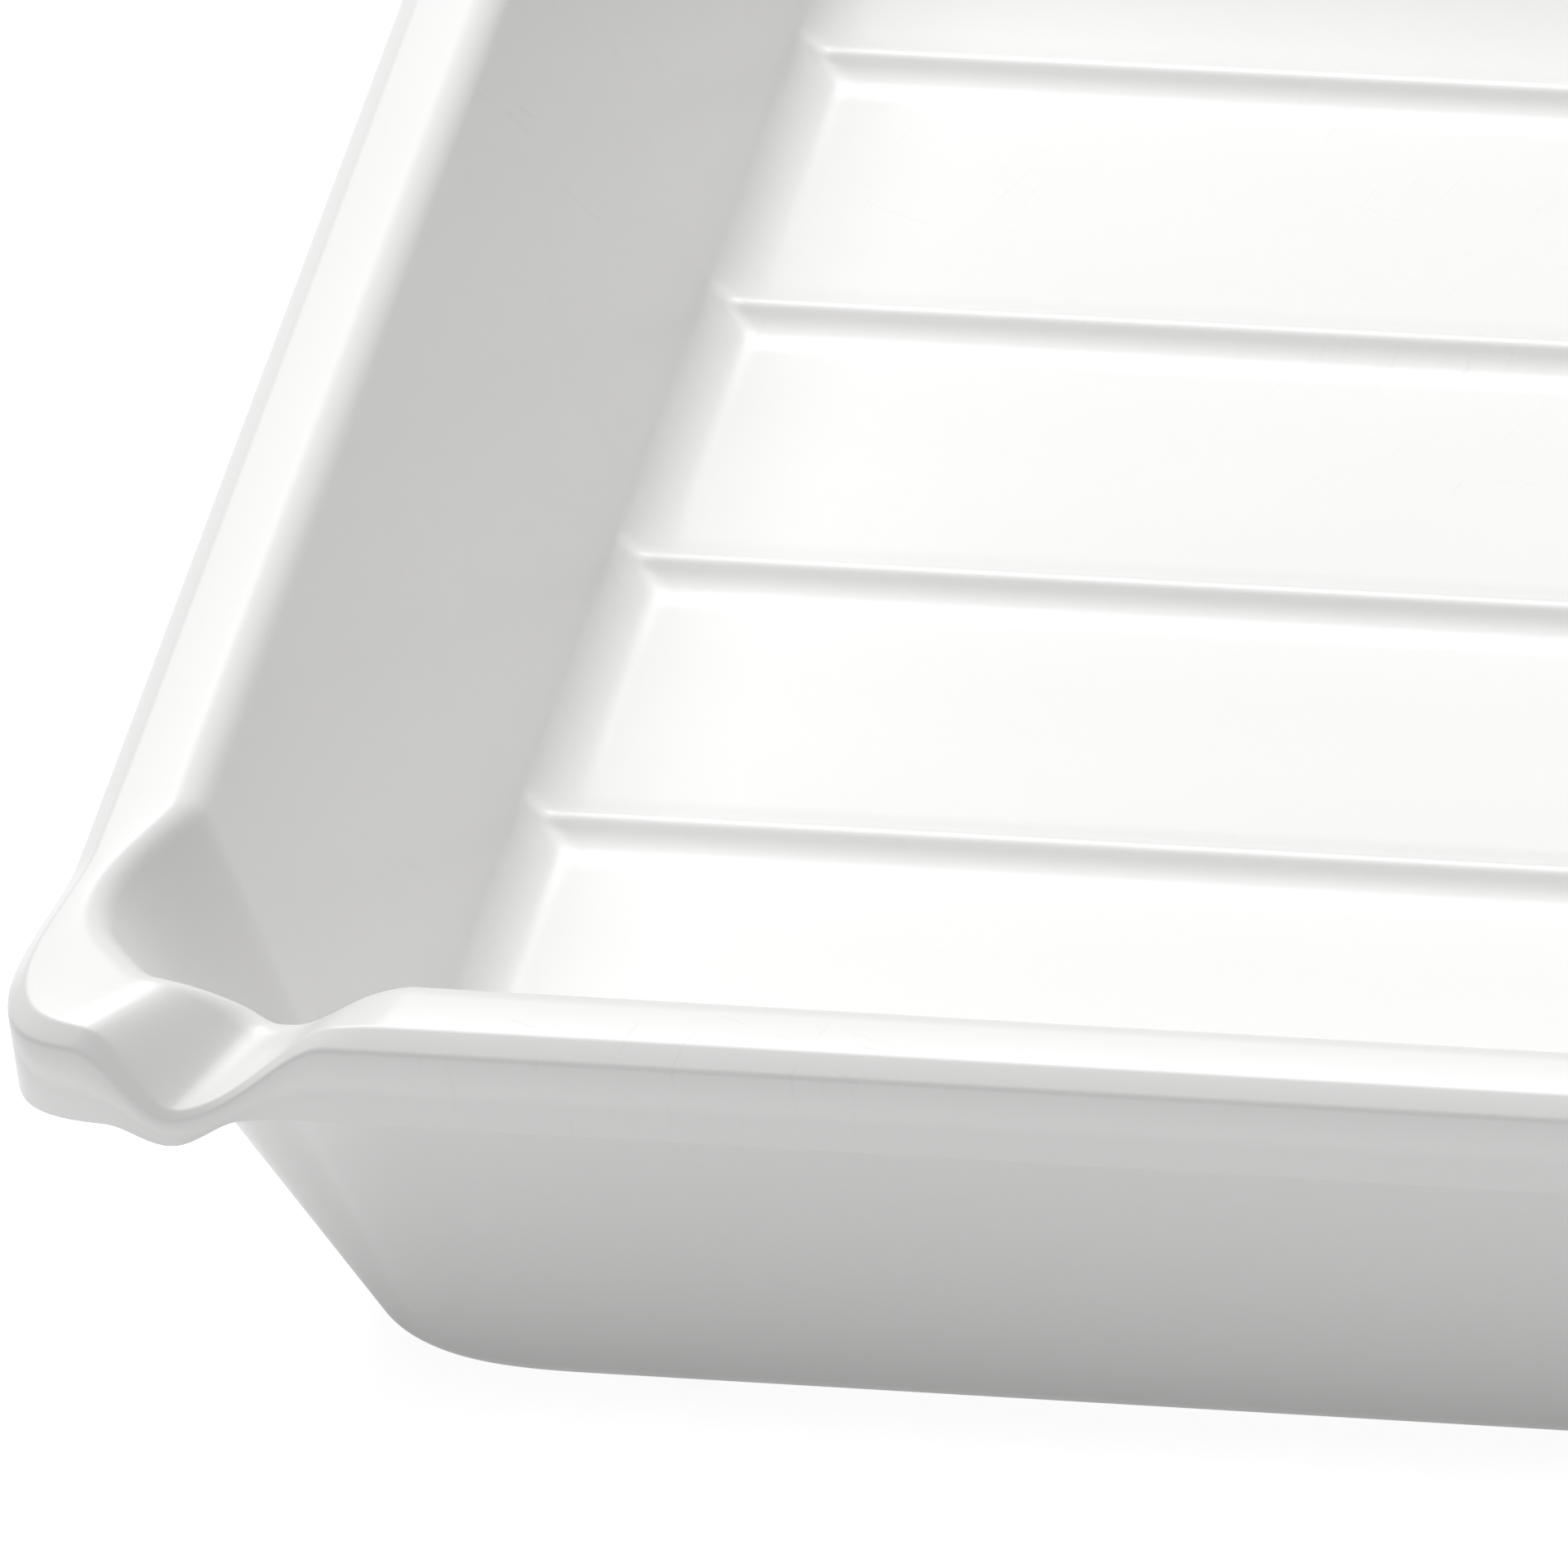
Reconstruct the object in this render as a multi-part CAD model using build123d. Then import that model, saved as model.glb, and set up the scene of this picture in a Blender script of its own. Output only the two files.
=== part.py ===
"""Open rectangular tray with a rolled rim, a ribbed floor and a corner pouring spout.

Frame: millimetres, +Z up, resting face on z = 0, origin at the middle of the resting face.
The tray is longest along X. The front is -Y and the spout is at the front left, -X and -Y.
The length and width are those of the straight sides: the spout flares a little beyond them.
The moulding is made as named regions that meet face to face without gap or overlap.
"""
from build123d import *
from math import atan2, cos, hypot, pi, radians, sin, tan
import os

os.makedirs("parts", exist_ok=True)

# Overall size
LENGTH = 445.0
WIDTH = 355.0
HEIGHT = 72.0

# Shell
WALL = 2.5
RIM_WIDTH = 12.5
SKIRT_DEPTH = 13.0
WALL_SPREAD = 14.5
BEVEL_WIDTH = 2.8
BEVEL_DROP = 2.0
BEVEL_EDGE_RADIUS = 1.2
UNDER_RIM_RADIUS = 1.2
INNER_EDGE_RADIUS = 4.5
COVE_RADIUS = 7.0
FOOT_EDGE_RADIUS = 4.0
PLAIN_FLOOR_RADIUS = 3.0

# Floor ribs
RIB_COUNT = 5
RIB_PITCH = 51.2
RIB_WIDTH = 11.0
RIB_HEIGHT = 3.0
RIB_CREST_RADIUS = 1.5
RIB_FLANK_ANGLE = 50.0

# Pouring spout, in the front left corner
SPOUT_RUN = 24.5
SPOUT_FLARE = 3.0
BOWL_BULGE = 6.5
GROOVE_ENTRY_DEPTH = 6.5
GROOVE_EXIT_DEPTH = 11.5
LIP_DROOP = 3.0
LIP_BEVEL_SHARE = 0.4

# How square the spout corner is in plan: 2 is round, and higher is squarer
RIM_SQUARENESS = 12.0
FOOT_SQUARENESS = 3.0

# Directions round the spout corner, in degrees from the left side to the front side:
# where each feature starts to grow, is full, starts to fade and is gone
FLARE_SPAN = (24.0, 40.0, 54.0, 66.0)
BOWL_SPAN = (16.0, 40.0, 44.0, 55.0)
ENTRY_SPAN = (48.0, 58.0, 60.0, 77.0)
EXIT_SPAN = (50.0, 57.0, 57.0, 71.0)
LIP_SPAN = (52.0, 57.0, 57.0, 62.0)
STATION_STEP = 1.5

# Joins between the regions of the moulding
JOIN_BELOW_LIP = 2.5
FLOOR_JOIN_MARGIN = 1.0

# Worked out from the sizes above
WALL_RISE = HEIGHT - WALL
WALL_SLOPE = atan2(WALL_RISE, WALL_SPREAD)
BASE_INSET = RIM_WIDTH + WALL_SPREAD
COVE_INSET = BASE_INSET + COVE_RADIUS * tan(WALL_SLOPE / 2)
FLOOR_INSET = COVE_INSET + FLOOR_JOIN_MARGIN
PLAIN_REACH = FLOOR_INSET + PLAIN_FLOOR_RADIUS
SPOUT_REACH = FLOOR_INSET + SPOUT_RUN
RIM_JOIN_Z = HEIGHT - SKIRT_DEPTH - LIP_DROOP - JOIN_BELOW_LIP
RIGHT = LENGTH / 2
REAR = WIDTH / 2
SPOUT_X = -RIGHT + SPOUT_REACH
SPOUT_Y = -REAR + SPOUT_REACH
PLAIN_X = RIGHT - PLAIN_REACH
PLAIN_Y = REAR - PLAIN_REACH


def toward(start, end):
    """Unit direction from one section point to another."""
    run = hypot(end[0] - start[0], end[1] - start[1])
    return (end[0] - start[0]) / run, (end[1] - start[1]) / run


def along(point, direction, distance):
    """Section point at a distance from another."""
    return point[0] + direction[0] * distance, point[1] + direction[1] * distance


def meeting(point_a, dir_a, point_b, dir_b):
    """Section point where two straight runs cross."""
    turn = dir_a[0] * dir_b[1] - dir_a[1] * dir_b[0]
    gap = (point_b[0] - point_a[0], point_b[1] - point_a[1])
    return along(point_a, dir_a, (gap[0] * dir_b[1] - gap[1] * dir_b[0]) / turn)


def offset_chain(chain, distance):
    """The chain moved sideways by a distance, toward its left."""
    runs = [toward(a, b) for a, b in zip(chain, chain[1:])]
    starts = [along(p, (-d[1], d[0]), distance) for p, d in zip(chain, runs)]
    inner = [meeting(starts[i], runs[i], starts[i + 1], runs[i + 1]) for i in range(len(runs) - 1)]
    last = along(chain[-1], (-runs[-1][1], runs[-1][0]), distance)
    return [starts[0], *inner, last]


def rounded_edges(chain, radii):
    """Straight runs along a chain of points, with an arc at each inner point."""
    edges = []
    start = chain[0]
    for before, corner, after, radius in zip(chain, chain[1:], chain[2:], radii):
        back = toward(corner, before)
        ahead = toward(corner, after)
        half = 0.5 * (pi - abs(atan2(back[0] * ahead[1] - back[1] * ahead[0],
                                     back[0] * ahead[0] + back[1] * ahead[1])))
        reach = radius * tan(half)
        middle = toward((0, 0), (back[0] + ahead[0], back[1] + ahead[1]))
        arc_start = along(corner, back, reach)
        arc_end = along(corner, ahead, reach)
        arc_middle = along(corner, middle, radius / cos(half) - radius)
        edges.append(Edge.make_line(start, arc_start))
        edges.append(Edge.make_three_point_arc(arc_start, arc_middle, arc_end))
        start = arc_end
    edges.append(Edge.make_line(start, chain[-1]))
    return edges


def shell_section(reach, inner, base, floor_edge, drops=(0.0, 0.0), droop=0.0, bevel=1.0):
    """Closed section from the skirt's foot, over the rim and down the wall to the floor.

    Distances run outward from the corner's centre. reach is the skirt, inner is the inner edge of
    the rim's top, base is the foot of the wall and floor_edge the join with the floor. drops lower
    the rim's outer and inner edge, droop lowers the skirt's foot and bevel scales the rim's bevel.
    """
    foot = (reach, HEIGHT - SKIRT_DEPTH - droop)
    outer = (reach, HEIGHT - drops[0])
    rest = [(inner, HEIGHT - drops[1]), (base, WALL), (floor_edge, WALL)]
    bevel_top = along(outer, toward(outer, rest[0]), BEVEL_WIDTH * bevel)
    bevel_foot = (reach, outer[1] - BEVEL_DROP * bevel)
    top = [foot, bevel_foot, bevel_top, *rest]
    under = offset_chain([foot, outer, *rest], WALL)
    edges = rounded_edges(top, (BEVEL_EDGE_RADIUS, BEVEL_EDGE_RADIUS, INNER_EDGE_RADIUS, COVE_RADIUS))
    edges.append(Edge.make_line(top[-1], under[-1]))
    edges += rounded_edges(under[::-1], (FOOT_EDGE_RADIUS, INNER_EDGE_RADIUS - WALL, UNDER_RIM_RADIUS))
    edges.append(Edge.make_line(under[0], foot))
    return Face(Wire(edges))


def plain_section(reach):
    """The section of every straight side and plain corner."""
    return shell_section(reach, reach - RIM_WIDTH, reach - BASE_INSET, reach - FLOOR_INSET)


def upright(x, y, bearing):
    """Plane through a vertical line, with its first axis toward a compass bearing in degrees."""
    outward = Vector(cos(radians(bearing)), sin(radians(bearing)), 0)
    return Plane(origin=(x, y, 0), x_dir=outward, z_dir=outward.cross(Vector(0, 0, 1)))


def straight_side(x, y, bearing, length):
    """Shell of a straight side, from a corner's centre and clockwise along the side."""
    plane = upright(x, y, bearing)
    side = RIGHT if abs(plane.x_dir.X) > 0.5 else REAR
    face = plane * plain_section(side - Vector(x, y).dot(plane.x_dir))
    return extrude(face, amount=length, dir=plane.z_dir)


def plain_corner(x, y, bearing):
    """Shell of a quarter-round corner that starts at a bearing."""
    face = upright(x, y, bearing) * plain_section(PLAIN_REACH)
    return revolve(face, Axis((x, y, 0), (0, 0, 1)), 90)


def ramp(value, start, end):
    """Smooth step from 0 to 1."""
    share = min(max((value - start) / (end - start), 0.0), 1.0)
    return share * share * (3 - 2 * share)


def feature_share(bearing, span):
    """How much of a feature there is in a direction: it grows, is full, fades and is gone."""
    grows, full, fades, gone = span
    return ramp(bearing, grows, full) * (1 - ramp(bearing, fades, gone))


def square_reach(distance, squareness, bearing):
    """Distance from the spout's centre to a square outline with a rounded corner."""
    lean = radians(bearing)
    return distance * (cos(lean) ** squareness + sin(lean) ** squareness) ** (-1 / squareness)


def spout_section(bearing):
    """Section of the spout corner: the flared bowl, the pouring groove and the lip."""
    flare = SPOUT_FLARE * feature_share(bearing, FLARE_SPAN)
    reach = square_reach(SPOUT_REACH + flare, RIM_SQUARENESS, bearing)
    side_edge = (SPOUT_REACH - RIM_WIDTH) / cos(radians(45 - abs(45 - bearing)))
    inner = side_edge + (SPOUT_REACH + BOWL_BULGE - side_edge) * feature_share(bearing, BOWL_SPAN)
    base = square_reach(SPOUT_REACH - BASE_INSET, FOOT_SQUARENESS, bearing)
    floor_edge = square_reach(SPOUT_RUN, FOOT_SQUARENESS, bearing)
    leaving = feature_share(bearing, EXIT_SPAN)
    drops = (GROOVE_EXIT_DEPTH * leaving, GROOVE_ENTRY_DEPTH * feature_share(bearing, ENTRY_SPAN))
    droop = LIP_DROOP * feature_share(bearing, LIP_SPAN)
    bevel = 1 - (1 - LIP_BEVEL_SHARE) * leaving
    return shell_section(reach, inner, base, floor_edge, drops, droop, bevel)


def spout_corner():
    """Shell of the spout corner, lofted through its sections."""
    count = round(90 / STATION_STEP)
    faces = [
        upright(SPOUT_X, SPOUT_Y, 180 + 90 * i / count) * spout_section(90 * i / count)
        for i in range(count + 1)
    ]
    return loft(faces)


def halves(shell):
    """Lower wall and upper rim of a stretch of shell."""
    level = Plane.XY.offset(RIM_JOIN_Z)
    return split(shell, level, Keep.BOTTOM), split(shell, level, Keep.TOP)


def floor_panel():
    """Flat floor, with corners that meet the round feet of the corner walls."""
    count = round(90 / STATION_STEP)
    x = RIGHT - FLOOR_INSET
    y = REAR - FLOOR_INSET
    bulge = PLAIN_FLOOR_RADIUS * cos(radians(45))
    foot = []
    for i in range(count + 1):
        reach = square_reach(SPOUT_RUN, FOOT_SQUARENESS, 90 * i / count)
        turn = radians(180 + 90 * i / count)
        foot.append((SPOUT_X + reach * cos(turn), SPOUT_Y + reach * sin(turn)))
    outline = [
        Edge.make_spline(foot, tangents=[(0, -1), (1, 0)]),
        Edge.make_line((SPOUT_X, -y), (PLAIN_X, -y)),
        Edge.make_three_point_arc((PLAIN_X, -y), (PLAIN_X + bulge, -PLAIN_Y - bulge), (x, -PLAIN_Y)),
        Edge.make_line((x, -PLAIN_Y), (x, PLAIN_Y)),
        Edge.make_three_point_arc((x, PLAIN_Y), (PLAIN_X + bulge, PLAIN_Y + bulge), (PLAIN_X, y)),
        Edge.make_line((PLAIN_X, y), (-PLAIN_X, y)),
        Edge.make_three_point_arc((-PLAIN_X, y), (-PLAIN_X - bulge, PLAIN_Y + bulge), (-x, PLAIN_Y)),
        Edge.make_line((-x, PLAIN_Y), (-x, SPOUT_Y)),
    ]
    return extrude(Face(Wire(outline)), amount=WALL, dir=(0, 0, 1))


def rib_section():
    """Section of a rib: a narrow round crest between hollow flanks that run out flat."""
    lean = radians(RIB_FLANK_ANGLE)
    top = WALL + RIB_HEIGHT
    across = RIB_CREST_RADIUS * sin(lean)
    shoulder = top - RIB_CREST_RADIUS * (1 - cos(lean))
    foot = RIB_WIDTH / 2
    return Face(Wire([
        Edge.make_three_point_arc((-across, shoulder), (0, top), (across, shoulder)),
        Edge.make_tangent_arc((across, shoulder), (cos(lean), -sin(lean)), (foot, WALL)),
        Edge.make_line((foot, WALL), (-foot, WALL)),
        Edge.make_tangent_arc((-across, shoulder), (-cos(lean), -sin(lean)), (-foot, WALL)),
    ]))


def floor_rib(y, walls):
    """Low rib along the floor, which runs into the coves at both ends.

    It is made long enough to pass under the coves, and only the solid inside the basin is kept.
    """
    end = RIGHT - BASE_INSET
    rib = extrude(upright(-end, y, 90) * rib_section(), amount=2 * end, dir=(1, 0, 0))
    for wall in walls:
        rib -= wall
    return rib.solids().sort_by(SortBy.VOLUME)[-1]


def write(name, shape):
    """Write one region of the tray to its own file."""
    solids = shape.solids()
    export_step(solids[0] if len(solids) == 1 else Compound(solids), f"parts/{name}.step")


sides = {
    "left": straight_side(SPOUT_X, SPOUT_Y, 180, PLAIN_Y - SPOUT_Y),
    "right": straight_side(PLAIN_X, PLAIN_Y, 0, 2 * PLAIN_Y),
    "front": straight_side(PLAIN_X, SPOUT_Y, 270, PLAIN_X - SPOUT_X),
    "rear": straight_side(-PLAIN_X, PLAIN_Y, 90, 2 * PLAIN_X),
    "front_right": plain_corner(PLAIN_X, -PLAIN_Y, 270),
    "rear_right": plain_corner(PLAIN_X, PLAIN_Y, 0),
    "rear_left": plain_corner(-PLAIN_X, PLAIN_Y, 90),
    "spout": spout_corner(),
}
walls = {}
for place, shell in sides.items():
    walls[place], rim = halves(shell)
    write(f"{place}_wall", walls[place])
    write("pouring_spout" if place == "spout" else f"{place}_rim", rim)

write("floor_panel", floor_panel())
for number in range(RIB_COUNT):
    rib_y = (number - (RIB_COUNT - 1) / 2) * RIB_PITCH
    write(f"floor_rib_{number + 1}", floor_rib(rib_y, walls.values()))
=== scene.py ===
import logging
import math
from collections.abc import Callable
from dataclasses import dataclass, field
from enum import Enum

import bmesh
import bpy
from mathutils import Matrix, Vector


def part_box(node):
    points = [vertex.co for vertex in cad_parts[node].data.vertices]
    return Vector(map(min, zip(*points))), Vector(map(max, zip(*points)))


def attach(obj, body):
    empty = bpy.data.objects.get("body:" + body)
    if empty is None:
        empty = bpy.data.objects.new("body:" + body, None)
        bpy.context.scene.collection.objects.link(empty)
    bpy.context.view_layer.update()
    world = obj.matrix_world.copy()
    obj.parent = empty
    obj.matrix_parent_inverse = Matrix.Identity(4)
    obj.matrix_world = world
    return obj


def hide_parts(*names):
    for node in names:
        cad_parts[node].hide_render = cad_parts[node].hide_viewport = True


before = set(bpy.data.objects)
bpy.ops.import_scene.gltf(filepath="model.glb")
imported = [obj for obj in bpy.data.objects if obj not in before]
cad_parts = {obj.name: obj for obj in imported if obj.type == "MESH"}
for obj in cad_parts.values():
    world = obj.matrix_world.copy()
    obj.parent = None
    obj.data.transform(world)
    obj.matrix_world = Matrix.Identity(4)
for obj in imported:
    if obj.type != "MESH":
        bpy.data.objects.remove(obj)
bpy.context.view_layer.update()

RIB_COUNT = 5
SAME_PLACE = 1e-7
log = logging.getLogger("tray")

Point = tuple[float, float]
Span = tuple[float, float, float, float]
Colour = tuple[float, float, float, float]
Lift = Callable[[Vector], Vector]


# ---------------------------------------------------------------------------
# Plane geometry of a moulded section
# ---------------------------------------------------------------------------


def unit(start: Point, end: Point) -> Point:
    """Direction from one point to another.

    Args:
        start: The first point.
        end: The second point.

    Returns:
        The direction, one unit long.
    """
    run = math.hypot(end[0] - start[0], end[1] - start[1])
    return (end[0] - start[0]) / run, (end[1] - start[1]) / run


def step_from(point: Point, direction: Point, distance: float) -> Point:
    """Point at a distance from another, in one direction."""
    return point[0] + direction[0] * distance, point[1] + direction[1] * distance


def offset_chain(chain: list[Point], distance: float) -> list[Point]:
    """Chain of straight runs moved sideways, toward its left.

    Args:
        chain: The points where the runs meet.
        distance: How far every run moves.

    Returns:
        The points where the moved runs meet.
    """
    runs = [unit(a, b) for a, b in zip(chain, chain[1:])]
    starts = [step_from(p, (-d[1], d[0]), distance) for p, d in zip(chain, runs)]
    moved = [starts[0]]
    for a, da, b, db in zip(starts, runs, starts[1:], runs[1:]):
        turn = da[0] * db[1] - da[1] * db[0]
        along = ((b[0] - a[0]) * db[1] - (b[1] - a[1]) * db[0]) / turn
        moved.append(step_from(a, da, along))
    moved.append(step_from(chain[-1], (-runs[-1][1], runs[-1][0]), distance))
    return moved


def rounded_chain(chain: list[Point], corners: list[tuple[float, int]]) -> list[Point]:
    """Points along a chain whose inner corners are rounded.

    Args:
        chain: The sharp points of the chain.
        corners: A radius and a count of steps for each inner corner.

    Returns:
        The chain's first point, the points of each arc and the chain's last point.
    """
    points = [chain[0]]
    for before, corner, after, (radius, steps) in zip(chain, chain[1:], chain[2:], corners):
        back, ahead = unit(corner, before), unit(corner, after)
        cross = back[0] * ahead[1] - back[1] * ahead[0]
        dot = back[0] * ahead[0] + back[1] * ahead[1]
        inside = math.atan2(abs(cross), dot)
        middle = unit((0.0, 0.0), (back[0] + ahead[0], back[1] + ahead[1]))
        centre = step_from(corner, middle, radius / math.sin(inside / 2))
        start = step_from(corner, back, radius / math.tan(inside / 2))
        first = math.atan2(start[1] - centre[1], start[0] - centre[0])
        sweep = math.copysign(math.pi - inside, -cross)
        for i in range(steps + 1):
            angle = first + sweep * i / steps
            points.append(step_from(centre, (math.cos(angle), math.sin(angle)), radius))
    points.append(chain[-1])
    return points


def ramp(value: float, start: float, end: float) -> float:
    """Smooth step from 0 at start to 1 at end."""
    share = min(max((value - start) / (end - start), 0.0), 1.0)
    return share * share * (3 - 2 * share)


def feature_share(bearing: float, span: Span) -> float:
    """How much of a feature there is in a direction: it grows, is full, fades and is gone.

    Args:
        bearing: The direction, in degrees.
        span: The four directions where the feature changes.

    Returns:
        0 outside the feature and 1 where it is full.
    """
    grows, full, fades, gone = span
    return ramp(bearing, grows, full) * (1 - ramp(bearing, fades, gone))


def soft_max(a: float, b: float, blend: float) -> float:
    """The larger of two heights, with a rounded valley where they cross.

    Args:
        a: One height.
        b: The other height.
        blend: How near the heights are when the rounding starts.

    Returns:
        The blended height.
    """
    near = max(blend - abs(a - b), 0.0) / blend
    return max(a, b) + near * near * blend / 4


# ---------------------------------------------------------------------------
# Finishes
# ---------------------------------------------------------------------------


class NodeKit:
    """Short calls for making and linking shader nodes in one tree."""

    def __init__(self, tree: bpy.types.NodeTree) -> None:
        """Takes the tree that the nodes go into."""
        self.tree = tree

    def node(self, kind: str, **settings: object) -> bpy.types.Node:
        """Makes a node.

        Args:
            kind: The node's type, such as ShaderNodeTexNoise.
            **settings: Properties of the node, set by name.

        Returns:
            The new node.
        """
        made = self.tree.nodes.new(kind)
        for name, value in settings.items():
            setattr(made, name, value)
        return made

    def feed(self, node: bpy.types.Node, socket: str | int, source: object) -> None:
        """Sets an input from a plain value or from another node's output.

        Args:
            node: The node that has the input.
            socket: The input's name or number.
            source: The value, or the output to link.
        """
        if isinstance(source, bpy.types.NodeSocket):
            self.tree.links.new(source, node.inputs[socket])
        else:
            node.inputs[socket].default_value = source

    def math(self, operation: str, a: object, b: object = 0.0) -> bpy.types.NodeSocket:
        """Result of a Math node.

        Args:
            operation: The node's operation, such as ADD.
            a: The first value or output.
            b: The second value or output.

        Returns:
            The node's output.
        """
        made = self.node("ShaderNodeMath", operation=operation)
        self.feed(made, 0, a)
        self.feed(made, 1, b)
        return made.outputs[0]

    def noise(self, where: object, scale: object, detail: float,
              rough: float = 0.5) -> bpy.types.NodeSocket:
        """Grey value of a noise texture.

        Args:
            where: The surface coordinates.
            scale: How close the noise lies.
            detail: How many finer layers it has.
            rough: How strong the finer layers are.

        Returns:
            The texture's grey output.
        """
        made = self.node("ShaderNodeTexNoise")
        self.feed(made, "Vector", where)
        self.feed(made, "Scale", scale)
        self.feed(made, "Detail", detail)
        self.feed(made, "Roughness", rough)
        return made.outputs["Fac"]

    def between(self, value: object, low: object, high: object, out_low: object = 0.0,
                out_high: object = 1.0) -> bpy.types.NodeSocket:
        """Value mapped smoothly from one range to another.

        Args:
            value: The value or output that is mapped.
            low: Where the first range starts.
            high: Where the first range ends.
            out_low: The result at the start.
            out_high: The result at the end.

        Returns:
            The mapped output.
        """
        made = self.node("ShaderNodeMapRange", interpolation_type="SMOOTHSTEP")
        for name, source in (("Value", value), ("From Min", low), ("From Max", high),
                             ("To Min", out_low), ("To Max", out_high)):
            self.feed(made, name, source)
        return made.outputs["Result"]

    def mix(self, share: object, a: object, b: object) -> bpy.types.NodeSocket:
        """Colour between two others.

        Args:
            share: 0 for the first colour and 1 for the second.
            a: The first colour.
            b: The second colour.

        Returns:
            The mixed colour's output.
        """
        made = self.node("ShaderNodeMix", data_type="RGBA")
        self.feed(made, 0, share)
        self.feed(made, 6, a)
        self.feed(made, 7, b)
        return made.outputs[2]


class MouldedSkin:
    """Node group for the skin of moulded plastic: fine grain, slow waves, a haze and scuffs."""

    NAME = "moulded_skin"
    INPUTS = (("Grain Scale", 900.0), ("Flow Scale", 14.0), ("Scuff Scale", 60.0),
              ("Scuff Amount", 0.4), ("Base Roughness", 0.3))
    OUTPUTS = ("Height", "Roughness", "Wear")
    GRAIN_SHARE = 0.25
    WEAR_DEPTH = 0.35
    HAZE_RANGE = (0.35, 0.75)
    HAZE_ROUGHNESS = 0.06
    WEAR_ROUGHNESS = 0.25
    SCRATCH_SETS = ((0.4, 26.0), (1.9, 18.0))
    SCRATCH_RANGE = (0.66, 0.72)
    PATCH_SCALE = 9.0
    PATCH_RANGE = (0.5, 0.68)

    @classmethod
    def group(cls) -> bpy.types.NodeTree:
        """The group, built the first time that it is asked for."""
        return bpy.data.node_groups.get(cls.NAME) or cls._build()

    @classmethod
    def _build(cls) -> bpy.types.NodeTree:
        """Builds the group.

        Returns:
            The new group, with its named inputs and outputs.
        """
        tree = bpy.data.node_groups.new(cls.NAME, "ShaderNodeTree")
        for name, value in cls.INPUTS:
            socket = tree.interface.new_socket(name, in_out="INPUT", socket_type="NodeSocketFloat")
            socket.default_value = value
        for name in cls.OUTPUTS:
            tree.interface.new_socket(name, in_out="OUTPUT", socket_type="NodeSocketFloat")
        kit = NodeKit(tree)
        inputs = kit.node("NodeGroupInput").outputs
        outputs = kit.node("NodeGroupOutput")
        where = kit.node("ShaderNodeTexCoord").outputs["Object"]
        grain = kit.noise(where, inputs["Grain Scale"], 2.0)
        flow = kit.noise(where, inputs["Flow Scale"], 3.0, 0.45)
        scuffs = cls._scuffs(kit, where, inputs["Scuff Scale"])
        wear = kit.math("MULTIPLY", scuffs, inputs["Scuff Amount"])
        haze = kit.between(flow, *cls.HAZE_RANGE)
        height = kit.math("ADD", kit.math("MULTIPLY", grain, cls.GRAIN_SHARE),
                          kit.math("MULTIPLY", flow, 1 - cls.GRAIN_SHARE))
        height = kit.math("SUBTRACT", height, kit.math("MULTIPLY", wear, cls.WEAR_DEPTH))
        rough = kit.math("ADD", inputs["Base Roughness"], kit.math("MULTIPLY", haze, cls.HAZE_ROUGHNESS))
        rough = kit.math("ADD", rough, kit.math("MULTIPLY", wear, cls.WEAR_ROUGHNESS))
        for name, source in zip(cls.OUTPUTS, (height, rough, wear)):
            kit.feed(outputs, name, source)
        return tree

    @classmethod
    def _scuffs(cls, kit: NodeKit, where: bpy.types.NodeSocket, scale: object) -> bpy.types.NodeSocket:
        """Thin scratches that cross each other, kept to a few worn patches.

        Args:
            kit: The tree's node maker.
            where: The surface coordinates.
            scale: How close the scratches lie.

        Returns:
            A mask, 1 on a scratch.
        """
        lines = None
        for turn, stretch in cls.SCRATCH_SETS:
            turned = kit.node("ShaderNodeVectorRotate", rotation_type="Z_AXIS")
            kit.feed(turned, "Vector", where)
            kit.feed(turned, "Angle", turn)
            squeezed = kit.node("ShaderNodeVectorMath", operation="MULTIPLY")
            kit.feed(squeezed, 0, turned.outputs[0])
            kit.feed(squeezed, 1, (1.0, stretch, 1.0))
            line = kit.between(kit.noise(squeezed.outputs[0], scale, 2.0, 0.6), *cls.SCRATCH_RANGE)
            lines = line if lines is None else kit.math("MAXIMUM", lines, line)
        patches = kit.between(kit.noise(where, cls.PATCH_SCALE, 3.0), *cls.PATCH_RANGE)
        return kit.math("MULTIPLY", lines, patches)


@dataclass(frozen=True)
class PlasticFinish:
    """Semi-gloss white moulded plastic."""

    name: str = "white_plastic"
    colour: Colour = (0.79, 0.787, 0.782, 1.0)
    scuffed: Colour = (0.70, 0.698, 0.695, 1.0)
    roughness: float = 0.28
    scuff_amount: float = 0.35
    relief: float = 0.00006
    refraction: float = 1.5

    def material(self) -> bpy.types.Material:
        """Builds the material.

        Returns:
            The material, with its grain, scuffs and gloss from nodes.
        """
        made = bpy.data.materials.new(self.name)
        made.use_nodes = True
        kit = NodeKit(made.node_tree)
        shader = made.node_tree.nodes["Principled BSDF"]
        skin = kit.node("ShaderNodeGroup", node_tree=MouldedSkin.group())
        kit.feed(skin, "Scuff Amount", self.scuff_amount)
        kit.feed(skin, "Base Roughness", self.roughness)
        kit.feed(shader, "Base Color", kit.mix(skin.outputs["Wear"], self.colour, self.scuffed))
        kit.feed(shader, "Roughness", skin.outputs["Roughness"])
        bump = kit.node("ShaderNodeBump")
        kit.feed(bump, "Height", skin.outputs["Height"])
        kit.feed(bump, "Distance", self.relief)
        kit.feed(shader, "Normal", bump.outputs[0])
        kit.feed(shader, "IOR", self.refraction)
        return made


# ---------------------------------------------------------------------------
# The moulding
# ---------------------------------------------------------------------------


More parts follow.
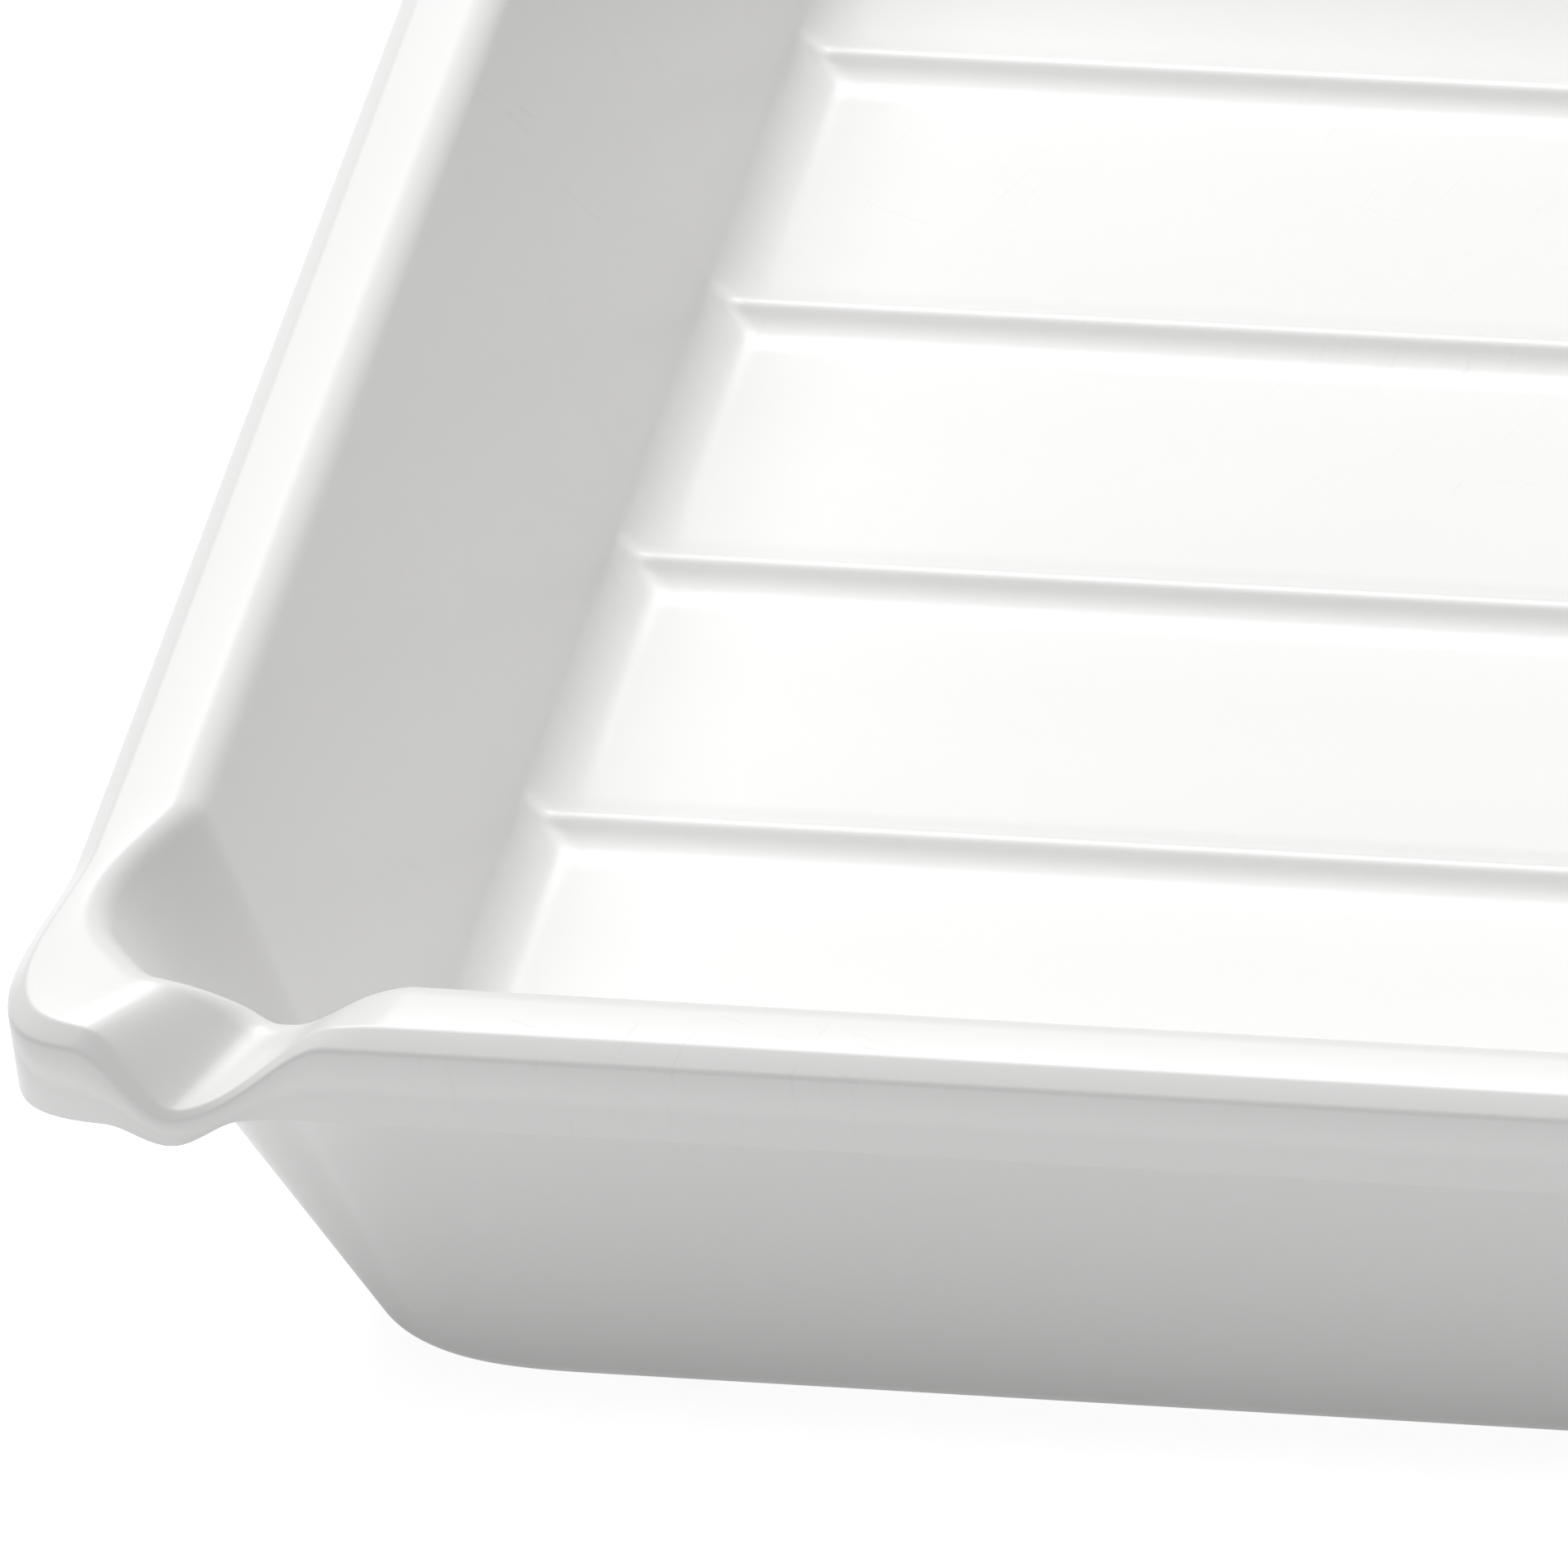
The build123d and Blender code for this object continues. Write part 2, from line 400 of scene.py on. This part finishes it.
@dataclass(frozen=True)
class Section:
    """Sharp corners of the shell at one place round the tray.

    Distances run outward from the corner's centre, heights up from the resting face. The skirt,
    outer and inner corners bound the rim, base is the foot of the wall, floor is the floor's edge
    and bevel scales the rim's bevel.
    """

    skirt: Point
    outer: Point
    inner: Point
    base: Point
    floor: Point
    bevel: float = 1.0

    def chain(self) -> list[Point]:
        """The corners in order, from the skirt's foot to the floor."""
        return [self.skirt, self.outer, self.inner, self.base, self.floor]


@dataclass
class ShellSizes:
    """Sizes that every stretch of the shell shares, in metres."""

    skirt_depth: float = 0.013
    rim_width: float = 0.0125
    wall_spread: float = 0.0145
    bevel_width: float = 0.0028
    bevel_drop: float = 0.0020
    bevel_edge: float = 0.0012
    under_rim: float = 0.0012
    inner_edge: float = 0.0045
    cove: float = 0.007
    foot_edge: float = 0.004
    bevel_steps: int = 5
    edge_steps: int = 12
    cove_steps: int = 16
    height: float = field(default_factory=lambda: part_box("rear_rim")[1][2])
    wall: float = field(default_factory=lambda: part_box("floor_panel")[1][2])

    def plain(self, reach: float, floor_reach: float) -> Section:
        """Section of a straight side or a plain corner.

        Args:
            reach: Distance from the corner's centre to the skirt.
            floor_reach: Distance from the corner's centre to the floor's edge.

        Returns:
            The section's corners.
        """
        return Section(
            skirt=(reach, self.height - self.skirt_depth),
            outer=(reach, self.height),
            inner=(reach - self.rim_width, self.height),
            base=(reach - self.rim_width - self.wall_spread, self.wall),
            floor=(floor_reach, self.wall),
        )

    def upper(self, section: Section) -> list[Point]:
        """Points of the face that is seen from above.

        Args:
            section: The section's sharp corners.

        Returns:
            The points, from the skirt's foot to the floor.
        """
        skirt, outer, inner, base, floor = section.chain()
        bevel_foot = (outer[0], outer[1] - self.bevel_drop * section.bevel)
        bevel_top = step_from(outer, unit(outer, inner), self.bevel_width * section.bevel)
        return rounded_chain([skirt, bevel_foot, bevel_top, inner, base, floor], [
            (self.bevel_edge, self.bevel_steps),
            (self.bevel_edge, self.bevel_steps),
            (self.inner_edge, self.edge_steps),
            (self.cove, self.cove_steps),
        ])

    def under(self, section: Section) -> list[Point]:
        """Points of the face that is seen from below.

        Args:
            section: The section's sharp corners.

        Returns:
            The points, from the floor back to the skirt's foot.
        """
        chain = offset_chain(section.chain(), self.wall)[::-1]
        return rounded_chain(chain, [
            (self.foot_edge, self.cove_steps),
            (self.inner_edge - self.wall, self.edge_steps),
            (self.under_rim, self.bevel_steps),
        ])


@dataclass
class PouringSpout:
    """The front left corner: a flared bowl, a groove over the rim and a drooping lip.

    Each span holds the directions, in degrees from the left side to the front side, where a
    feature starts to grow, is full, starts to fade and is gone.
    """

    shell: ShellSizes
    reach: float
    floor_reach: float
    flare: float = 0.003
    bowl_bulge: float = 0.0065
    entry_depth: float = 0.0065
    exit_depth: float = 0.0115
    droop: float = 0.003
    lip_bevel_share: float = 0.4
    rim_squareness: float = 12.0
    foot_squareness: float = 3.0
    flare_span: Span = (24.0, 40.0, 54.0, 66.0)
    bowl_span: Span = (16.0, 40.0, 44.0, 55.0)
    entry_span: Span = (48.0, 58.0, 60.0, 77.0)
    exit_span: Span = (50.0, 57.0, 57.0, 71.0)
    lip_span: Span = (52.0, 57.0, 57.0, 62.0)
    steps: int = 150

    @staticmethod
    def outline(distance: float, squareness: float, bearing: float) -> float:
        """Distance to a square outline with a rounded corner.

        Args:
            distance: How far the outline's straight sides are from the centre.
            squareness: 2 for a round corner, and more for a squarer one.
            bearing: Degrees from the left side, toward the front side.

        Returns:
            The distance from the corner's centre, in metres.
        """
        turn = math.radians(bearing)
        total = math.cos(turn) ** squareness + math.sin(turn) ** squareness
        return distance * total ** (-1 / squareness)

    def section(self, bearing: float) -> Section:
        """Section of the spout corner.

        Args:
            bearing: Degrees from the left side, toward the front side.

        Returns:
            The section's corners.
        """
        shell = self.shell
        flare = self.flare * feature_share(bearing, self.flare_span)
        reach = self.outline(self.reach + flare, self.rim_squareness, bearing)
        side_edge = (self.reach - shell.rim_width) / math.cos(math.radians(45 - abs(45 - bearing)))
        bowl = feature_share(bearing, self.bowl_span)
        leaving = feature_share(bearing, self.exit_span)
        base = self.reach - shell.rim_width - shell.wall_spread
        return Section(
            skirt=(reach, shell.height - shell.skirt_depth
                   - self.droop * feature_share(bearing, self.lip_span)),
            outer=(reach, shell.height - self.exit_depth * leaving),
            inner=(side_edge + (self.reach + self.bowl_bulge - side_edge) * bowl,
                   shell.height - self.entry_depth * feature_share(bearing, self.entry_span)),
            base=(self.outline(base, self.foot_squareness, bearing), shell.wall),
            floor=(self.outline(self.floor_reach, self.foot_squareness, bearing), shell.wall),
            bevel=1 - (1 - self.lip_bevel_share) * leaving,
        )


@dataclass
class FloorRibs:
    """Low ribs that run the length of the floor and into the coves at both ends.

    The roundings root and end_root are where a rib meets the floor and the coves, and root_run is
    how far it takes to go from one to the other. line_offsets_mm says where the mesh has lines
    beside a rib's middle.
    """

    floor: float
    cove_start: float
    crest_radius: float = 0.0015
    flank_angle: float = 50.0
    root: float = 0.0006
    end_root: float = 0.0045
    root_run: float = 0.008
    line_offsets_mm: tuple[float, ...] = (
        0.0, 0.25, 0.5, 0.8, 1.15, 1.6, 2.1, 2.7, 3.4, 4.2, 5.0, 5.8, 7.0)
    boxes: list[tuple[Vector, Vector]] = field(default_factory=lambda: [
        (Vector(lo), Vector(hi))
        for lo, hi in (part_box(f"floor_rib_{i + 1}") for i in range(RIB_COUNT))
    ])

    def __post_init__(self) -> None:
        """Works out the section's arcs."""
        low, high = self.boxes[0]
        self.half = (high.y - low.y) / 2
        self.rise = high.z - low.z
        lean = math.radians(self.flank_angle)
        self.shoulder = (self.crest_radius * math.sin(lean),
                         self.rise - self.crest_radius * (1 - math.cos(lean)))
        away = self.half - self.shoulder[0]
        chord = math.hypot(away, self.shoulder[1])
        slack = lean - math.atan2(self.shoulder[1], away)
        radius = chord / (2 * math.sin(slack))
        self.hollow = (self.shoulder[0] + radius * math.sin(lean),
                       self.shoulder[1] + radius * math.cos(lean), radius)

    def height(self, away: float) -> float:
        """Height of a rib above the floor.

        Args:
            away: Distance from the rib's middle line.

        Returns:
            The height, 0 or less outside the rib.
        """
        if away <= self.shoulder[0]:
            return self.rise - self.crest_radius + math.sqrt(self.crest_radius**2 - away * away)
        if away >= self.half:
            return self.half - away
        across, up, radius = self.hollow
        return up - math.sqrt(max(radius**2 - (away - across) ** 2, 0.0))

    def lift(self, place: Vector) -> Vector:
        """Raises a point of the tray's inner face onto a rib, where there is one.

        Args:
            place: The point on the bare floor, cove or wall.

        Returns:
            The point, raised where a rib stands higher.
        """
        away = min(abs(place.y - (lo.y + hi.y) / 2) for lo, hi in self.boxes)
        share = ramp(abs(place.x), self.cove_start, self.cove_start + self.root_run)
        blend = self.root + (self.end_root - self.root) * share
        if away > self.half + blend:
            return place
        top = self.floor + self.height(away)
        return Vector((place.x, place.y, soft_max(place.z, top, blend)))

    def cross_lines(self, start: float, end: float, spacing: float) -> list[float]:
        """Places across the floor where the mesh needs a line.

        Args:
            start: Where the lines start.
            end: Where the lines end.
            spacing: The widest gap between lines away from the ribs.

        Returns:
            The places in rising order, close together on the ribs.
        """
        places = {start, end}
        for low, high in self.boxes:
            middle = (low.y + high.y) / 2
            for offset in self.line_offsets_mm:
                places |= {middle - offset / 1000, middle + offset / 1000}
        ordered = sorted(p for p in places if start <= p <= end)
        filled = []
        for a, b in zip(ordered, ordered[1:]):
            parts = max(1, math.ceil((b - a) / spacing))
            filled += [a + (b - a) * i / parts for i in range(parts)]
        return [*filled, end]


@dataclass
class Station:
    """One place round the tray where the mesh has a section.

    The bearing is in degrees counter-clockwise from +X, about the centre.
    """

    centre: Point
    bearing: float
    section: Section

    def place(self, point: Point) -> Vector:
        """Point of the section in the tray's own frame.

        Args:
            point: Distance outward from the corner's centre, and height.

        Returns:
            The point in space.
        """
        turn = math.radians(self.bearing)
        return Vector((self.centre[0] + point[0] * math.cos(turn),
                       self.centre[1] + point[0] * math.sin(turn), point[1]))


@dataclass
class TrayMoulding:
    """The whole tray: one continuous moulding of rim, walls, floor, ribs and spout."""

    finish: PlasticFinish = PlasticFinish()
    shell: ShellSizes = field(default_factory=ShellSizes)
    side_spacing: float = 0.016
    corner_steps: int = 24
    name: str = "tray_moulding"

    def __post_init__(self) -> None:
        """Reads the tray's corners and edges from the frame."""
        self.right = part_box("right_rim")[1][0]
        self.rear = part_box("rear_rim")[1][1]
        self.plain = (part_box("rear_rim")[1][0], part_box("right_rim")[1][1])
        self.spout_centre = (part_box("front_rim")[0][0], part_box("left_rim")[0][1])
        self.floor_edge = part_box("floor_panel")[1][0]
        self.inset = self.right - self.floor_edge
        reach = self.right + self.spout_centre[0]
        self.spout = PouringSpout(self.shell, reach, reach - self.inset)
        self.ribs = FloorRibs(self.shell.wall, self.floor_edge)

    def _side(self, centre: Point, bearing: float, reach: float) -> Station:
        """Station of a straight side, seen from a point on a corner's centre line."""
        return Station(centre, bearing, self.shell.plain(reach, reach - self.inset))

    def _corner(self, centre: Point, bearing: float) -> list[Station]:
        """Stations inside a plain corner, between its two sides.

        Args:
            centre: The corner's centre.
            bearing: Where the corner starts, in degrees counter-clockwise from +X.

        Returns:
            The stations, counter-clockwise.
        """
        reach = self.right - self.plain[0]
        section = self.shell.plain(reach, reach - self.inset)
        return [Station(centre, bearing + 90 * i / self.corner_steps, section)
                for i in range(1, self.corner_steps)]

    def stations(self) -> tuple[list[Station], dict[str, list[int]]]:
        """All stations, counter-clockwise from the rear end of the left side.

        Returns:
            The stations, and for each side the numbers of those that the floor's lines meet.
        """
        (sx, sy), (px, py) = self.spout_centre, self.plain
        across = self.ribs.cross_lines(sy, py, self.side_spacing)
        count = math.ceil((px - sx) / self.side_spacing)
        along = [sx + (px - sx) * i / count for i in range(count + 1)]
        left_reach, front_reach = self.right + sx, self.rear + sy
        plain_reach = self.right - px
        found: list[Station] = []
        lines: dict[str, list[int]] = {}

        def add(side: str | None, made: list[Station]) -> None:
            """Adds stations and remembers which floor lines they end."""
            if side:
                lines[side] = list(range(len(found), len(found) + len(made)))
            found.extend(made)

        add("left", [self._side((sx, y), 180, left_reach) for y in reversed(across)])
        add(None, [Station(self.spout_centre, 180 + 90 * i / self.spout.steps,
                           self.spout.section(90 * i / self.spout.steps))
                   for i in range(1, self.spout.steps)])
        add("front", [self._side((x, sy), 270, front_reach) for x in along])
        add(None, self._corner((px, -py), 270))
        add(None, [self._side((px, -py), 0, plain_reach)])
        add("right", [self._side((px, y), 0, plain_reach) for y in across])
        add(None, self._corner((px, py), 0))
        add("rear", [self._side((x, py), 90, plain_reach) for x in reversed(along)])
        add(None, [self._side((-px, py), 90, plain_reach)])
        add(None, self._corner((-px, py), 90))
        return found, lines

    def build(self) -> bpy.types.Object:
        """Builds the moulding's mesh.

        Returns:
            The moulding, in the row frame.
        """
        stations, lines = self.stations()
        bm = bmesh.new()
        upper = [[bm.verts.new(self.ribs.lift(s.place(p))) for p in self.shell.upper(s.section)]
                 for s in stations]
        under = [[bm.verts.new(s.place(p)) for p in self.shell.under(s.section)] for s in stations]
        for i in range(len(stations)):
            j = (i + 1) % len(stations)
            here, there = upper[i] + under[i], upper[j] + under[j]
            for k in range(len(here)):
                m = (k + 1) % len(here)
                if k == len(upper[i]) - 1:
                    continue
                bm.faces.new((here[k], there[k], there[m], here[m]))
        self._fill(bm, [u[-1] for u in upper], lines, self.ribs.lift)
        self._fill(bm, [u[0] for u in under], lines, None)
        bmesh.ops.recalc_face_normals(bm, faces=bm.faces)
        mesh = bpy.data.meshes.new(self.name)
        bm.to_mesh(mesh)
        bm.free()
        made = bpy.data.objects.new(self.name, mesh)
        bpy.context.scene.collection.objects.link(made)
        return made

    def _fill(self, bm: bmesh.types.BMesh, edge: list[bmesh.types.BMVert],
              lines: dict[str, list[int]], lift: Lift | None) -> None:
        """Fills the floor inside a loop of edge points.

        Args:
            bm: The mesh being built.
            edge: The floor's edge, one point for each station.
            lines: For each side, the stations that the floor's lines end at.
            lift: Raises a point onto a rib, or None for the flat underside.
        """
        rows = lines["left"][::-1]
        columns = lines["front"]
        level = edge[columns[0]].co.z
        grid = {}
        for r, row in enumerate(rows):
            for c, column in enumerate(columns):
                spot = Vector((edge[column].co.x, edge[row].co.y, level))
                grid[r, c] = bm.verts.new(lift(spot) if lift else spot)
        top, last = len(rows) - 1, len(columns) - 1
        for r in range(top):
            for c in range(last):
                bm.faces.new((grid[r, c], grid[r, c + 1], grid[r + 1, c + 1], grid[r + 1, c]))
        right, rear = lines["right"], lines["rear"][::-1]
        for r in range(top):
            bm.faces.new((edge[rows[r]], grid[r, 0], grid[r + 1, 0], edge[rows[r + 1]]))
            bm.faces.new((grid[r, last], edge[right[r]], edge[right[r + 1]], grid[r + 1, last]))
        for c in range(last):
            bm.faces.new((edge[columns[c]], edge[columns[c + 1]], grid[0, c + 1], grid[0, c]))
            bm.faces.new((grid[top, c], grid[top, c + 1], edge[rear[c + 1]], edge[rear[c]]))
        total = len(edge)
        for hub, start, end in (
            (grid[0, 0], rows[0], columns[0]),
            (grid[0, last], columns[last], right[0]),
            (grid[top, last], right[top], rear[last]),
            (grid[top, 0], rear[0], rows[top]),
        ):
            i = start
            while i != end:
                j = (i + 1) % total
                if (edge[i].co - edge[j].co).length > SAME_PLACE:
                    bm.faces.new((hub, edge[i], edge[j]))
                i = j

    def dress(self, made: bpy.types.Object) -> None:
        """Gives the moulding its finish, its smooth shading and its place in the frame.

        Args:
            made: The moulding.
        """
        made.data.materials.append(self.finish.material())
        made.data.polygons.foreach_set("use_smooth", [True] * len(made.data.polygons))
        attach(made, "root")
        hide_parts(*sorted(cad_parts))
        log.info("%s: %d faces, stands for %d regions", made.name, len(made.data.polygons),
                 len(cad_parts))


# ---------------------------------------------------------------------------
# The studio
# ---------------------------------------------------------------------------


@dataclass
class Camera:
    """Long lens that looks down on the spout corner from the front.

    Angles are in degrees. The lens is aimed at a point given from the rim's corner, then shifted
    along the view's own right and up.
    """

    corner: Vector
    heading: float = -17.74
    elevation: float = 37.86
    roll: float = 7.93
    distance: float = 5.0
    view_width: float = 0.18842
    aim_from_corner: Vector = field(default_factory=lambda: Vector((0.060, 0.060, -0.020)))
    aim_right: float = 0.01853
    aim_up: float = 0.00974
    sensor: float = 36.0

    def build(self) -> bpy.types.Object:
        """Makes the camera and gives it to the scene.

        Returns:
            The camera.
        """
        psi, rise = math.radians(self.heading), math.radians(self.elevation)
        forward = Vector((math.sin(psi) * math.cos(rise), math.cos(psi) * math.cos(rise),
                          -math.sin(rise)))
        level = Vector((math.cos(psi), -math.sin(psi), 0.0))
        upward = level.cross(forward)
        c, s = math.cos(math.radians(self.roll)), math.sin(math.radians(self.roll))
        right, up = c * level - s * upward, s * level + c * upward
        aim = self.corner + self.aim_from_corner + right * self.aim_right + up * self.aim_up
        data = bpy.data.cameras.new("camera")
        data.sensor_width = self.sensor
        data.lens = self.sensor * self.distance / self.view_width
        data.clip_start, data.clip_end = 0.1, 50.0
        made = bpy.data.objects.new("camera", data)
        axes = Matrix((right, up, -forward)).transposed()
        made.matrix_world = Matrix.Translation(aim - forward * self.distance) @ axes.to_4x4()
        bpy.context.scene.collection.objects.link(made)
        bpy.context.scene.camera = made
        return made


class Lamp(Enum):
    """Studio lamps: place, size and power."""

    KEY = ((-0.5, 1.1, 2.0), 1.4, 31.0)
    TOP = ((0.0, 0.0, 2.4), 2.0, 27.0)


@dataclass
class Studio:
    """A plain pale floor under soft light.

    seen_floor and glow are the floor's colour and light as the camera sees them, bounce and fill
    as they reach the tray.
    """

    floor_size: float = 12.0
    seen_floor: Colour = (0.93, 0.93, 0.93, 1.0)
    bounce: Colour = (0.90, 0.90, 0.90, 1.0)
    fill: Colour = (0.21, 0.21, 0.21, 1.0)
    glow: Colour = (0.68, 0.68, 0.68, 1.0)
    white: Colour = (1.0, 1.0, 1.0, 1.0)
    floor_roughness: float = 0.9
    sky: float = 0.26

    def build(self) -> None:
        """Makes the floor, the lamps and the surrounding light."""
        self._floor()
        for lamp in Lamp:
            self._lamp(lamp)
        world = bpy.data.worlds.new("studio")
        world.use_nodes = True
        shade = world.node_tree.nodes["Background"]
        shade.inputs["Color"].default_value = self.white
        shade.inputs["Strength"].default_value = self.sky
        bpy.context.scene.world = world
        bpy.context.scene.view_settings.view_transform = "Standard"

    def _floor(self) -> None:
        """Makes the floor that the tray stands on."""
        half = self.floor_size / 2
        mesh = bpy.data.meshes.new("studio_floor")
        corners = [(-half, -half, 0), (half, -half, 0), (half, half, 0), (-half, half, 0)]
        mesh.from_pydata(corners, [], [(0, 1, 2, 3)])
        floor = bpy.data.objects.new("studio_floor", mesh)
        bpy.context.scene.collection.objects.link(floor)
        material = bpy.data.materials.new("studio_floor")
        material.use_nodes = True
        shader = material.node_tree.nodes["Principled BSDF"]
        kit = NodeKit(material.node_tree)
        seen = kit.node("ShaderNodeLightPath").outputs["Is Camera Ray"]
        kit.feed(shader, "Base Color", kit.mix(seen, self.bounce, self.seen_floor))
        kit.feed(shader, "Emission Color", kit.mix(seen, self.fill, self.glow))
        shader.inputs["Emission Strength"].default_value = 1.0
        shader.inputs["Roughness"].default_value = self.floor_roughness
        mesh.materials.append(material)

    @staticmethod
    def _lamp(lamp: Lamp) -> None:
        """Makes one soft lamp, aimed at the tray.

        Args:
            lamp: The lamp's place, size and power.
        """
        place, size, power = lamp.value
        data = bpy.data.lights.new(lamp.name.lower(), "AREA")
        data.shape = "DISK"
        data.size = size
        data.energy = power
        made = bpy.data.objects.new(lamp.name.lower(), data)
        made.location = place
        made.rotation_mode = "QUATERNION"
        made.rotation_quaternion = (-Vector(place)).to_track_quat("-Z", "Y")
        bpy.context.scene.collection.objects.link(made)


def main() -> None:
    """Builds the tray, the studio and the camera."""
    logging.basicConfig(level=logging.INFO, format="%(name)s: %(message)s")
    tray = TrayMoulding()
    Camera(Vector((-tray.right, -tray.rear, tray.shell.height))).build()
    made = tray.build()
    tray.dress(made)
    Studio().build()


if __name__ == "__main__":
    main()
